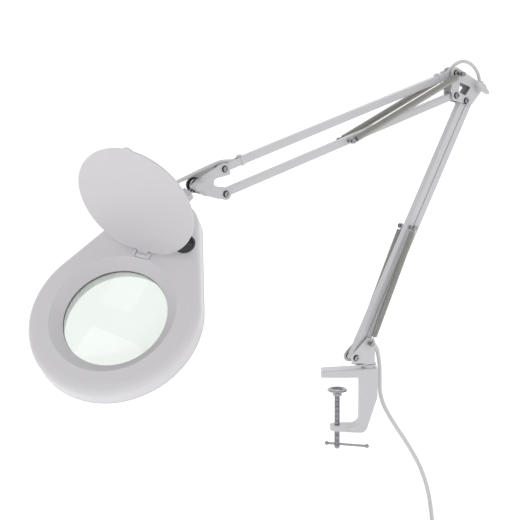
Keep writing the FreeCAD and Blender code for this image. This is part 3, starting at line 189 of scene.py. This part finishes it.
def finish(name, colour, roughness, metallic=0.0, grain=400.0, mottle=0.04, bump=0.05, relief=0.0001,
           rough_spread=0.08, broad=18.0, **constants):
    """Surface finish: a base colour with faint broad mottling, fine relief and uneven gloss."""
    material = bpy.data.materials.new(name)
    material.use_nodes = True
    nodes, link = material.node_tree.nodes, material.node_tree.links.new
    shader = nodes["Principled BSDF"]
    place = nodes.new("ShaderNodeTexCoord")
    blotch = nodes.new("ShaderNodeTexNoise")
    blotch.inputs["Scale"].default_value = broad
    blotch.inputs["Detail"].default_value = 4.0
    speck = nodes.new("ShaderNodeTexNoise")
    speck.inputs["Scale"].default_value = grain
    speck.inputs["Detail"].default_value = 3.0
    tint = nodes.new("ShaderNodeMix")
    tint.data_type = "RGBA"
    dark = [channel * (1.0 - mottle) for channel in colour[:3]]
    tint.inputs["A"].default_value = (*dark, 1.0)
    tint.inputs["B"].default_value = (*colour[:3], 1.0)
    gloss = nodes.new("ShaderNodeMapRange")
    gloss.inputs["To Min"].default_value = max(roughness - rough_spread, 0.02)
    gloss.inputs["To Max"].default_value = min(roughness + rough_spread, 1.0)
    relief_node = nodes.new("ShaderNodeBump")
    relief_node.inputs["Strength"].default_value = bump
    relief_node.inputs["Distance"].default_value = relief
    for texture in (blotch, speck):
        link(place.outputs["Object"], texture.inputs["Vector"])
    link(blotch.outputs["Fac"], tint.inputs["Factor"])
    link(tint.outputs["Result"], shader.inputs["Base Color"])
    link(blotch.outputs["Fac"], gloss.inputs["Value"])
    link(gloss.outputs["Result"], shader.inputs["Roughness"])
    link(speck.outputs["Fac"], relief_node.inputs["Height"])
    link(relief_node.outputs["Normal"], shader.inputs["Normal"])
    shader.inputs["Metallic"].default_value = metallic
    for label, value in constants.items():
        shader.inputs[label.replace("_", " ")].default_value = value
    return material


# Settings


class LampSizes(bpy.types.PropertyGroup):
    spring_wire: bpy.props.FloatProperty(
        name="Spring wire",
        description="Wire diameter of the balance springs",
        default=0.0013, min=0.0006, max=0.002, unit="LENGTH")
    spring_coil: bpy.props.FloatProperty(
        name="Spring coil",
        description="Outer diameter of the balance springs",
        default=0.009, min=0.006, max=0.009, unit="LENGTH")
    spring_pitch: bpy.props.FloatProperty(
        name="Spring pitch",
        description="Distance between neighbouring coils",
        default=0.00142, min=0.0011, max=0.003, unit="LENGTH")
    thread_pitch: bpy.props.FloatProperty(
        name="Thread pitch",
        description="Rise of the clamp screw in one turn",
        default=0.00125, min=0.001, max=0.002, unit="LENGTH")
    thread_depth: bpy.props.FloatProperty(
        name="Thread depth",
        description="Depth of the clamp screw's thread",
        default=0.0007, min=0.0003, max=0.001, unit="LENGTH")
    mains_thickness: bpy.props.FloatProperty(
        name="Mains lead",
        description="Diameter of the mains lead",
        default=0.006, min=0.005, max=0.007, unit="LENGTH")
    mains_length: bpy.props.FloatProperty(
        name="Mains length",
        description="Length of the mains lead",
        default=1.74, min=1.6, max=1.9, unit="LENGTH")
    inner_thickness: bpy.props.FloatProperty(
        name="Inner lead",
        description="Diameter of the leads at the elbow and head",
        default=0.005, min=0.004, max=0.006, unit="LENGTH")


class LampColours(bpy.types.PropertyGroup):
    paint: bpy.props.FloatVectorProperty(
        name="Paint",
        description="Powder coat on the arms and the clamp",
        subtype="COLOR", size=3, default=(0.62, 0.61, 0.635), min=0, max=1)
    shell: bpy.props.FloatVectorProperty(
        name="Shell",
        description="Moulded plastic of the head and its cover",
        subtype="COLOR", size=3, default=(0.66, 0.645, 0.67), min=0, max=1)
    knob: bpy.props.FloatVectorProperty(
        name="Knobs",
        description="Plastic of the knobs and the neck block",
        subtype="COLOR", size=3, default=(0.60, 0.60, 0.615), min=0, max=1)
    lead: bpy.props.FloatVectorProperty(
        name="Leads",
        description="Sleeve of the leads and the plug",
        subtype="COLOR", size=3, default=(0.66, 0.65, 0.66), min=0, max=1)
    glass: bpy.props.FloatVectorProperty(
        name="Lens",
        description="Tint of the lens",
        subtype="COLOR", size=3, default=(0.77, 0.815, 0.775), min=0, max=1)


class LAMP_OT_finishes(bpy.types.Operator):
    """Give every visible part its paint, plastic, plating, rubber or glass"""
    bl_idname = "lamp.finishes"
    bl_label = "Finishes"

    def execute(self, context):
        tone = context.scene.lamp_colours
        FINISHES["white_paint"] = finish("powder coat", tone.paint, 0.36, grain=900, mottle=0.05, bump=0.14,
                                         relief=0.00012, rough_spread=0.07, Coat_Weight=0.15,
                                         Coat_Roughness=0.25)
        FINISHES["white_plastic"] = finish("moulded shell", tone.shell, 0.34, grain=1400, mottle=0.035,
                                           bump=0.06, relief=0.00008, rough_spread=0.06, broad=9,
                                           Subsurface_Weight=0.05, Subsurface_Scale=0.004, Coat_Weight=0.12,
                                           Coat_Roughness=0.2)
        FINISHES["chrome"] = finish("bright chrome", (0.42, 0.42, 0.44), 0.2, 1.0, grain=700, mottle=0.3,
                                    bump=0.04, rough_spread=0.06, broad=60)
        FINISHES["spring_steel"] = finish("spring wire", (0.45, 0.445, 0.42), 0.32, 1.0, grain=900,
                                          mottle=0.15, bump=0.05, rough_spread=0.08, broad=80)
        FINISHES["steel"] = finish("zinc plate", (0.58, 0.59, 0.61), 0.34, 1.0, grain=500, mottle=0.18,
                                   bump=0.1, rough_spread=0.1, broad=50)
        FINISHES["black_rubber"] = finish("black rubber", (0.018, 0.018, 0.02), 0.62, grain=1200,
                                          mottle=0.3, bump=0.15)
        FINISHES["grey_plastic"] = finish("grained grey plastic", tone.knob, 0.42, grain=1500, mottle=0.06,
                                          bump=0.2, relief=0.00012)
        FINISHES["white_pvc"] = finish("lead sleeve", tone.lead, 0.40, grain=700, mottle=0.05, bump=0.06,
                                       Subsurface_Weight=0.04, Subsurface_Scale=0.003)
        FINISHES["black_plastic"] = finish("black gloss plastic", (0.012, 0.012, 0.014), 0.2, grain=1200,
                                           mottle=0.3, bump=0.05, Coat_Weight=0.4, Coat_Roughness=0.1)
        FINISHES["brass"] = finish("plug brass", (0.78, 0.62, 0.34), 0.26, 1.0, grain=500, mottle=0.15)
        FINISHES["tube_white"] = finish("coated tube", (0.86, 0.87, 0.87), 0.22, grain=900, mottle=0.03,
                                        bump=0.02)
        FINISHES["diffuser"] = finish("opal diffuser", (0.82, 0.82, 0.82), 0.45, grain=1200, mottle=0.03,
                                      bump=0.1, Subsurface_Weight=0.3, Subsurface_Scale=0.006)
        FINISHES["glass"] = self.lens_glass(tone.glass)
        for entry in frame["record"]["subparts"]:
            dress(NODES[entry["node"]].data, entry["material_slot"])
        return {"FINISHED"}

    def lens_glass(self, tint):
        """Clear glass with faint smears in its gloss."""
        return finish("lens glass", tint, 0.03, grain=60, mottle=0.01, bump=0.0, rough_spread=0.015, broad=12,
                      Transmission_Weight=1.0, IOR=1.45, Coat_Weight=0.3, Coat_Roughness=0.02)


# Balance springs, in metres
STUD_GAP = 0.006             # from the bar's stud to the first coil
PIN_GAP = 0.011              # from the bracket's pin to the last coil
HOOK_RADIUS = 0.0025         # inside of the hook
HOOK_STEPS = 9
HOOK_FIRST, HOOK_STEP = 60, 36                         # degrees round the pin
HOOK_EASE = 1.08             # how far the bend of the hook is opened out


class LAMP_OT_springs(bpy.types.Operator):
    """Wind the four balance springs and hook them over their pins"""
    bl_idname = "lamp.springs"
    bl_label = "Springs"

    def execute(self, context):
        sizes = context.scene.lamp_sizes
        tree = helix_tree("balance spring coil", FINISHES["spring_steel"], 8)
        arms = (("lower", "lower_spring_stud", "base_spring_pin", "lower_front", "base"),
                ("upper", "upper_spring_stud", "elbow_studs", "upper_lower", "elbow"))
        for arm, stud, pin, bar_body, bracket_body in arms:
            for side in ("near", "far"):
                aside = middle(f"{arm}_spring_{side}") - (middle(stud) + middle(pin)) / 2
                offset = ACROSS * aside.dot(ACROSS)
                begin, end = middle(stud) + offset, middle(pin) + offset
                piece = self.spring(f"{arm}_spring_{side}_wire", begin, end, sizes, tree)
                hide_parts(f"{arm}_spring_{side}")
                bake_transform(piece)
        return {"FINISHED"}

    def spring(self, name, begin, end, sizes, tree):
        """One wound spring from the stud at begin to the pin at end, with a hook round each."""
        wire = sizes.spring_wire / 2
        radius = sizes.spring_coil / 2 - wire
        way = (end - begin).normalized()
        side = ACROSS.cross(way)
        frame_matrix = Matrix((side, ACROSS, way)).transposed().to_4x4()
        length = (end - begin).length - STUD_GAP - PIN_GAP
        turns = length / sizes.spring_pitch
        seed = linked(bpy.data.meshes.new(name), name)
        coil = grow_tree(seed, tree, Length=length,
                         **{"Coil Radius": radius, "Wire Radius": wire, "Turns": turns})
        coil.transform(Matrix.Translation(begin + way * STUD_GAP) @ frame_matrix)
        parts = [coil]
        angle = turns * math.tau
        for centre, towards, start_angle, gap in ((begin, way, 0.0, STUD_GAP), (end, -way, angle, PIN_GAP)):
            base = centre + towards * gap
            rim = side * math.cos(start_angle) + ACROSS * math.sin(start_angle)
            eye = HOOK_RADIUS + wire
            points = [base + rim * radius, base + rim * radius * 0.8 - towards * wire * 1.2,
                      base - towards * wire * 2.4, centre + towards * (eye + 0.0022) + side * 0.0004]
            for step in range(HOOK_STEPS):
                swing = math.radians(HOOK_FIRST + HOOK_STEP * step)
                points.append(centre + towards * math.cos(swing) * eye * HOOK_EASE
                              + side * math.sin(swing) * eye * HOOK_EASE
                              + ACROSS * wire * (step - HOOK_STEPS // 2) * 0.12)
            parts.append(as_mesh(nurbs_curve(name + "_hook", points, wire, 6, 2), name))
        mesh = joined(parts, name)
        dress(mesh, "spring_steel")
        return linked(mesh, name)


class LAMP_OT_clamp_thread(bpy.types.Operator):
    """Cut the thread of the clamp screw"""
    bl_idname = "lamp.clamp_thread"
    bl_label = "Clamp screw thread"

    def execute(self, context):
        sizes = context.scene.lamp_sizes
        low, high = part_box("clamp_screw")
        outer = (high.x - low.x) / 2
        core = outer - sizes.thread_depth
        foot, crown = low.z + 0.0012, high.z - 0.004   # ends of the threaded length
        chamfer, step = 0.0008, 0.0004
        tree = helix_tree("clamp screw thread", FINISHES["chrome"], 3)
        seed = linked(bpy.data.meshes.new("clamp_thread"), "clamp_thread")
        ridge = sizes.thread_depth / 1.5               # radius of the three-sided wire that makes the thread
        turns = (crown - foot - 0.0015) / sizes.thread_pitch
        thread = grow_tree(seed, tree, Length=turns * sizes.thread_pitch,
                           **{"Coil Radius": outer - ridge, "Wire Radius": ridge, "Turns": turns})
        thread.transform(Matrix.Translation((0, 0, foot + 0.0007)))
        body = bmesh.new()
        profile = [(0, low.z), (core - chamfer, low.z), (core, low.z + chamfer), (core, crown),
                   (core - step, crown), (outer - chamfer, crown + step), (outer - chamfer, high.z),
                   (0, high.z)]
        rim = [body.verts.new((radius, 0, height)) for radius, height in profile]
        edges = [body.edges.new(pair) for pair in zip(rim, rim[1:])]
        bmesh.ops.spin(body, geom=rim + edges, cent=(0, 0, 0), axis=(0, 0, 1), angle=math.tau, steps=40,
                       use_duplicate=False)
        bmesh.ops.remove_doubles(body, verts=body.verts, dist=1e-6)
        bmesh.ops.recalc_face_normals(body, faces=body.faces)
        core_mesh = bpy.data.meshes.new("clamp_core")
        body.to_mesh(core_mesh)
        body.free()
        mesh = joined([thread, core_mesh], "clamp_screw_threaded")
        dress(mesh, "chrome")
        mesh.polygons.foreach_set("use_smooth", [False] * len(mesh.polygons))
        piece = linked(mesh, "clamp_screw_threaded")
        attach(piece, "screw")
        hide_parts("clamp_screw")
        return {"FINISHED"}


# Route of the mains lead from its strain relief down to the coil, in millimetres
MAINS_ROUTE = [(56.436, 8.388, 35.0), (59.2, 14.0, 23.5), (61.0, 18.6, 8.0), (61.4, 20.2, -9.0),
               (61.6, 20.4, -26.0), (64.4, 20.0, -41.0), (71.2, 19.2, -57.0), (85.2, 17.4, -80.0),
               (104.6, 14.8, -109.0), (121.0, 11.6, -139.0), (131.4, 7.6, -171.0), (135.6, 1.4, -201.0),
               (136.8, -11.0, -223.0), (137.4, -32.0, -230.6)]
COIL_MIDDLE = (92.0, -62.0)
COIL_STEPS = 14              # points in one turn
COIL_CLIMB = 0.4             # turns over which the lead climbs to the second layer
FLOOR = -234.0
# Layers of the coil: first turn, last turn, radius there and there, height, and how far the layer climbs
COIL_LAYERS = ((0.04, 3.2, 45.0, 26.0, FLOOR + 3.0, 0.0), (3.27, 6.2, 25.4, 45.0, FLOOR + 3.0, 5.6))
TIE_TURNS = (0.42, 0.93)
TIE_MIDDLE = FLOOR + 6.35
PLUG_TAIL = [(84.0, -104.8, -225.8), (72.0, -106.2, -226.2), (60.0, -108.6, -226.6), (48.0, -112.4, -227.0)]


def coil_turns():
    """Points of the wound-up lead: inwards on the floor, then outwards in a second layer."""
    points = []
    for first, last, r_start, r_end, base, lift in COIL_LAYERS:
        count = round((last - first) * COIL_STEPS)
        for index in range(count + 1):
            share = index / count
            lap = first + (last - first) * share
            radius = r_start + (r_end - r_start) * share
            climbed = min(1.0, (lap - first) / COIL_CLIMB)
            height = base + lift * climbed * climbed * (3.0 - 2.0 * climbed)
            points.append((COIL_MIDDLE[0] + radius * math.cos(-lap * math.tau),
                           COIL_MIDDLE[1] + radius * math.sin(-lap * math.tau), height))
    return points


class LAMP_OT_mains_lead(bpy.types.Operator):
    """Hang the mains lead, wind up its spare length and tie the coil"""
    bl_idname = "lamp.mains_lead"
    bl_label = "Mains lead"

    def execute(self, context):
        sizes = context.scene.lamp_sizes
        route = millimetres(MAINS_ROUTE + coil_turns() + PLUG_TAIL)
        lead = nurbs_curve("mains_lead_sleeve", route, sizes.mains_thickness / 2, 10, 5)
        dress(lead.data, "white_pvc")
        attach(lead, "base")
        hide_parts("mains_lead", "lead_coil")
        mesh = joined([self.tie(turn) for turn in TIE_TURNS], "lead_coil_ties")
        dress(mesh, "black_rubber")
        band = linked(mesh, "lead_coil_ties")
        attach(band, "base")
        return {"FINISHED"}

    def tie(self, turn):
        """Thin band round all the turns at one place."""
        angle = turn * math.tau
        out = Vector((math.cos(angle), math.sin(angle), 0))
        centre = Vector((*COIL_MIDDLE, TIE_MIDDLE)) * MM
        half_width, half_height, thickness = 0.0139, 0.0056, 0.0007
        middle_radius = 0.035
        steps = 20
        points = []
        for step in range(steps + 1):
            cosine, sine = math.cos(math.tau * step / steps), math.sin(math.tau * step / steps)
            reach = middle_radius + half_width * math.copysign(abs(cosine) ** 0.5, cosine)
            height = half_height * math.copysign(abs(sine) ** 0.5, sine)
            points.append(centre + out * reach + Vector((0, 0, height)))
        return as_mesh(nurbs_curve("coil_tie", points, thickness, 3, 2), "coil_tie")


def arm_points(points):
    """Points given as (level, across, height) in the arm's plane, in millimetres, put in the row frame."""
    swivel = Vector(JOINTS["base_swivel"]["pos_m"])
    origin = Vector((swivel.x, swivel.y, 0))
    return [origin + (ARM_LEVEL * level + ACROSS * across) * MM + Vector((0, 0, height * MM))
            for level, across, height in points]


# Routes of the two inner leads, as (level, across, height) in the arm's plane
ELBOW_ROUTE = [(-133.5, 0, 418.0), (-142.0, 0, 426.6), (-153.0, 0, 434.2), (-167.0, 0, 437.6),
               (-180.4, 0, 434.0), (-190.8, 0, 425.6), (-196.8, 0, 416.4), (-198.1, 0, 408.7)]
HEAD_ROUTE = [(211.3, 0, 312.1), (226.1, 0, 312.6), (238.6, 0, 312.1), (246.5, 0, 310.0),
              (261.0, 0, 305.0), (275.5, 0, 299.6), (289.5, -0.4, 294.0), (303.5, -1.0, 289.5),
              (310.8, -1.8, 276.5)]
HEAD_CUTS = [(278.5, 0, 298.4), (294.5, 0, 292.2)]     # the head lead is cut into three lengths at these points, one over each joint


class LAMP_OT_inner_leads(bpy.types.Operator):
    """Lay the short leads over the elbow and over the neck"""
    bl_idname = "lamp.inner_leads"
    bl_label = "Inner leads"

    def execute(self, context):
        thickness = context.scene.lamp_sizes.inner_thickness
        route = arm_points(ELBOW_ROUTE)
        loop = self.sleeve("elbow_lead_sleeve", route, thickness)
        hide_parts("elbow_lead")
        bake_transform(loop)
        route = arm_points(HEAD_ROUTE)
        cuts = arm_points(HEAD_CUTS)
        spans = (("head_yoke", "stem", route[3], cuts[0]), ("stem", "neck", cuts[0], cuts[1]),
                 ("neck", "head", cuts[1], route[-1]))
        for number, (first, second, start, end) in enumerate(spans):
            part = self.sleeve(f"head_lead_sleeve_{number + 1}", route, thickness)
            for cut, plane in enumerate(cuts):
                if cut in (number - 1, number):
                    self.trim(part.data, plane, keep_after=cut == number - 1)
            if number == 0:
                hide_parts("head_lead")
            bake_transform(part)
        return {"FINISHED"}

    def sleeve(self, name, route, thickness):
        mesh = smooth(as_mesh(nurbs_curve(name, route, thickness / 2, 12, 5), name))
        dress(mesh, "white_pvc")
        piece = linked(mesh, name)
        return piece

    def trim(self, mesh, plane, keep_after):
        """Cut a sleeve across the arm at one point, keep one side and close the end."""
        shape = bmesh.new()
        shape.from_mesh(mesh)
        bmesh.ops.bisect_plane(shape, geom=shape.verts[:] + shape.edges[:] + shape.faces[:], plane_co=plane,
                               plane_no=ARM_LEVEL, clear_inner=keep_after, clear_outer=not keep_after)
        bmesh.ops.holes_fill(shape, edges=[edge for edge in shape.edges if edge.is_boundary], sides=0)
        shape.to_mesh(mesh)
        shape.free()


CAMERA_PLACE = (-0.0732, -1.6058, 0.4214)
CAMERA_RIGHT = Vector((0.9998, 0.0207, -0.0062))
CAMERA_FORWARD = Vector((-0.0214, 0.9873, -0.1573))
CAMERA_LENS = 81.03
SOFTBOX_SIZE = 1.6
WORLD_STRENGTH = 0.72


class LAMP_OT_stage(bpy.types.Operator):
    """Set up the floor, the soft lights and the camera"""
    bl_idname = "lamp.stage"
    bl_label = "Studio"

    def execute(self, context):
        scene = context.scene
        self.backdrop()
        self.softbox("key light", (-1.9, -2.1, 2.3), (-0.1, -0.1, 0.2), 9.0)
        self.softbox("fill light", (2.3, -1.6, 1.2), (0.0, -0.1, 0.2), 3.5)
        self.softbox("rim light", (0.6, 2.2, 2.0), (-0.1, 0.0, 0.25), 5.0)
        world = bpy.data.worlds.new("studio white")
        world.use_nodes = True
        sky = world.node_tree.nodes["Background"]
        sky.inputs["Color"].default_value = (1.0, 1.0, 1.0, 1.0)
        sky.inputs["Strength"].default_value = WORLD_STRENGTH
        scene.world = world
        scene.view_settings.view_transform = "Standard"
        camera = bpy.data.cameras.new("camera")
        camera.sensor_width = 36.0
        camera.lens = CAMERA_LENS
        viewer = bpy.data.objects.new("camera", camera)
        scene.collection.objects.link(viewer)
        right, forward = CAMERA_RIGHT.normalized(), CAMERA_FORWARD.normalized()
        up = right.cross(forward).normalized()
        viewer.matrix_world = (Matrix.Translation(CAMERA_PLACE)
                               @ Matrix((right, up, -forward)).transposed().to_4x4())
        scene.camera = viewer
        return {"FINISHED"}

    def backdrop(self):
        """Pale floor that curves up into a wall behind the lamp."""
        half, front, back, bend, wall = 9.0, -6.0, 6.0, 2.0, 7.0
        steps = 16
        level = FLOOR * MM - 0.0002                    # a hair below the coil, so the two don't flicker
        outline = [(front, level)]
        for step in range(steps + 1):
            angle = math.radians(90 * step / steps)
            outline.append((back - bend + bend * math.sin(angle), level + bend - bend * math.cos(angle)))
        outline.append((back, level + wall))
        vertices = [(x, y, z) for y, z in outline for x in (-half, half)]
        faces = [(2 * i, 2 * i + 1, 2 * i + 3, 2 * i + 2) for i in range(len(outline) - 1)]
        mesh = bpy.data.meshes.new("backdrop")
        mesh.from_pydata(vertices, [], faces)
        floor = linked(smooth(mesh), "backdrop")
        paper = finish("studio paper", (0.93, 0.93, 0.93), 0.8, grain=6, mottle=0.01, bump=0.0, broad=2,
                       Emission_Color=(1.0, 1.0, 1.0, 1.0), Emission_Strength=0.35)
        mesh.materials.append(paper)

    def softbox(self, name, place, target, power):
        light = bpy.data.lights.new(name, "AREA")
        light.shape = "SQUARE"
        light.size = SOFTBOX_SIZE
        light.energy = power
        lamp = bpy.data.objects.new(name, light)
        bpy.context.scene.collection.objects.link(lamp)
        way = Vector(target) - Vector(place)
        lamp.matrix_world = Matrix.Translation(place) @ way.to_track_quat("-Z", "Y").to_matrix().to_4x4()


class LAMP_PT_panel(bpy.types.Panel):
    bl_idname = "LAMP_PT_panel"
    bl_label = "Magnifying Lamp"
    bl_space_type = "VIEW_3D"
    bl_region_type = "UI"
    bl_category = "Magnifying Lamp"

    def draw(self, context):
        layout = self.layout
        for settings in (context.scene.lamp_sizes, context.scene.lamp_colours):
            for label in settings.__annotations__:
                layout.prop(settings, label)
        for operator in PIECES:
            layout.operator(operator.bl_idname)


PIECES = (LAMP_OT_finishes, LAMP_OT_springs, LAMP_OT_clamp_thread, LAMP_OT_mains_lead, LAMP_OT_inner_leads,
          LAMP_OT_stage)
CLASSES = (LampSizes, LampColours) + PIECES + (LAMP_PT_panel,)


def register():
    for item in CLASSES:
        bpy.utils.register_class(item)
    bpy.types.Scene.lamp_sizes = bpy.props.PointerProperty(type=LampSizes)
    bpy.types.Scene.lamp_colours = bpy.props.PointerProperty(type=LampColours)


def unregister():
    del bpy.types.Scene.lamp_colours
    del bpy.types.Scene.lamp_sizes
    for item in reversed(CLASSES):
        bpy.utils.unregister_class(item)


def main():
    register()
    bpy.ops.lamp.finishes()
    bpy.ops.lamp.springs()
    bpy.ops.lamp.clamp_thread()
    bpy.ops.lamp.mains_lead()
    bpy.ops.lamp.inner_leads()
    bpy.ops.lamp.stage()
    bpy.context.view_layer.update()


if __name__ == "__main__":
    main()
